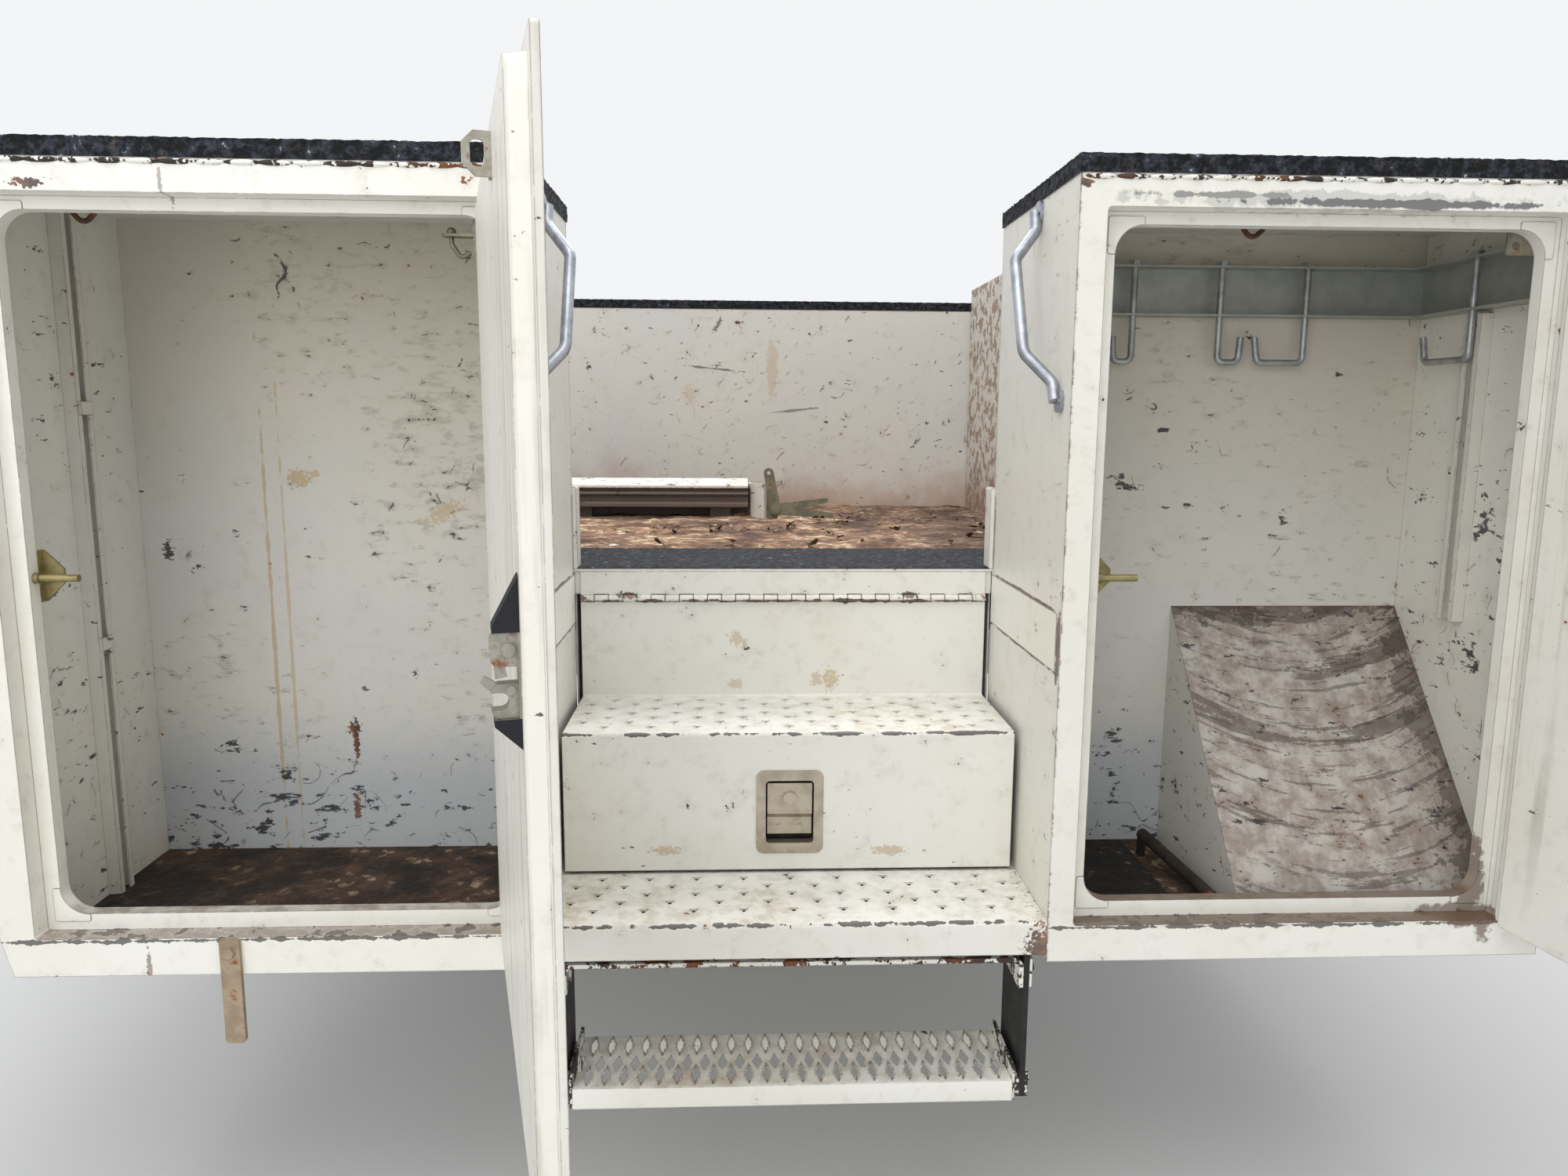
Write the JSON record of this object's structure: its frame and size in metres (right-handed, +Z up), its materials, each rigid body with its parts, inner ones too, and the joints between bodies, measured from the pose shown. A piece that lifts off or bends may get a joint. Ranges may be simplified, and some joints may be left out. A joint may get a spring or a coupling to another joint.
{
  "type": "utility truck body bay with lift-up side steps",
  "caption": "Front bay of a utility truck body: open side cabinets, lift-up steps, deck, cross box, far pack and a strap-hung drop step.",
  "frame": {"origin": "middle of the four frame bolt holes, on the sills' underside", "axes": "+X forward along the truck, +Y towards the street side, +Z up"},
  "size_m": [2.484, 3.159, 1.501],
  "materials": {
    "white_paint": "worn gloss",
    "inner_paint": "worn gloss",
    "floor_grime": "rough",
    "black_coating": "rough",
    "deck_paint": "rough",
    "frame_black": "satin",
    "galvanised": "satin",
    "zinc_hardware": "satin",
    "stainless": "brushed",
    "bright_metal": "satin",
    "strap_rubber": "matt",
    "step_steel": "worn",
    "rusty_steel": "rough"
  },
  "bodies": {
    "rear_door": {"rear_door": "white_paint", "rear_door_latches": "zinc_hardware"},
    "front_door": {"front_door": "white_paint", "front_door_latches": "zinc_hardware"},
    "street_rear_door": {"street_rear_door": "white_paint", "street_rear_door_latches": "zinc_hardware"},
    "street_middle_door": {"street_middle_door": "white_paint", "street_middle_door_latches": "zinc_hardware"},
    "street_front_door": {"street_front_door": "white_paint", "street_front_door_latches": "zinc_hardware"},
    "step_lid": {"step_lid": "white_paint", "paddle_latch": "stainless"},
    "bay": {"bottom_tread": "white_paint", "cabinet_backs": "inner_paint", "cabinet_end_walls": "inner_paint", "ceiling_hooks": "rusty_steel", "compartment_ceilings": "inner_paint", "compartment_floors": "floor_grime", "cross_box": "white_paint", "cross_members": "frame_black", "deck": "deck_paint", "deck_rail": "white_paint", "door_hinges": "white_paint", "drop_step": "step_steel", "floor_pipe": "rusty_steel", "frame_sills": "frame_black", "front_cabinet_cap": "black_coating", "front_cabinet_face": "white_paint", "grab_handles": "bright_metal", "hanging_tab": "rusty_steel", "hook_rail": "galvanised", "lid_hinge": "white_paint", "outrigger_housing": "inner_paint", "rail_latch": "zinc_hardware", "rear_cabinet_cap": "black_coating", "rear_cabinet_face": "white_paint", "rod_hooks": "galvanised", "shelf_tracks": "galvanised", "stair_patches": "white_paint", "stay_brackets": "zinc_hardware", "step_bin": "inner_paint", "step_hanger": "white_paint", "step_straps": "strap_rubber", "strap_clamps": "white_paint", "street_cap": "black_coating", "street_face": "white_paint", "street_inner_wall": "white_paint", "street_partitions": "inner_paint", "striker_pins": "zinc_hardware"}
  },
  "joints": [
    {"name": "rear_door_hinge", "type": "hinge", "parent": "bay", "child": "rear_door", "pos_m": [-0.4225, -1.224, 0.214], "axis": [0, 0, 1], "range_deg": [-105, 0]},
    {"name": "front_door_hinge", "type": "hinge", "parent": "bay", "child": "front_door", "pos_m": [1.1315, -1.224, 0.214], "axis": [0, 0, 1], "range_deg": [-99, 0]},
    {"name": "street_rear_door_hinge", "type": "hinge", "parent": "bay", "child": "street_rear_door", "pos_m": [-0.4645, 1.224, 0.214], "axis": [0, 0, -1], "range_deg": [0, 100]},
    {"name": "street_middle_door_hinge", "type": "hinge", "parent": "bay", "child": "street_middle_door", "pos_m": [0.3615, 1.224, 0.214], "axis": [0, 0, -1], "range_deg": [0, 100]},
    {"name": "street_front_door_hinge", "type": "hinge", "parent": "bay", "child": "street_front_door", "pos_m": [1.1765, 1.224, 0.214], "axis": [0, 0, -1], "range_deg": [0, 100]},
    {"name": "step_lid_hinge", "type": "hinge", "parent": "bay", "child": "step_lid", "pos_m": [0, -0.764, 0.125], "axis": [-1, 0, 0], "range_deg": [0, 90]}
  ]
}
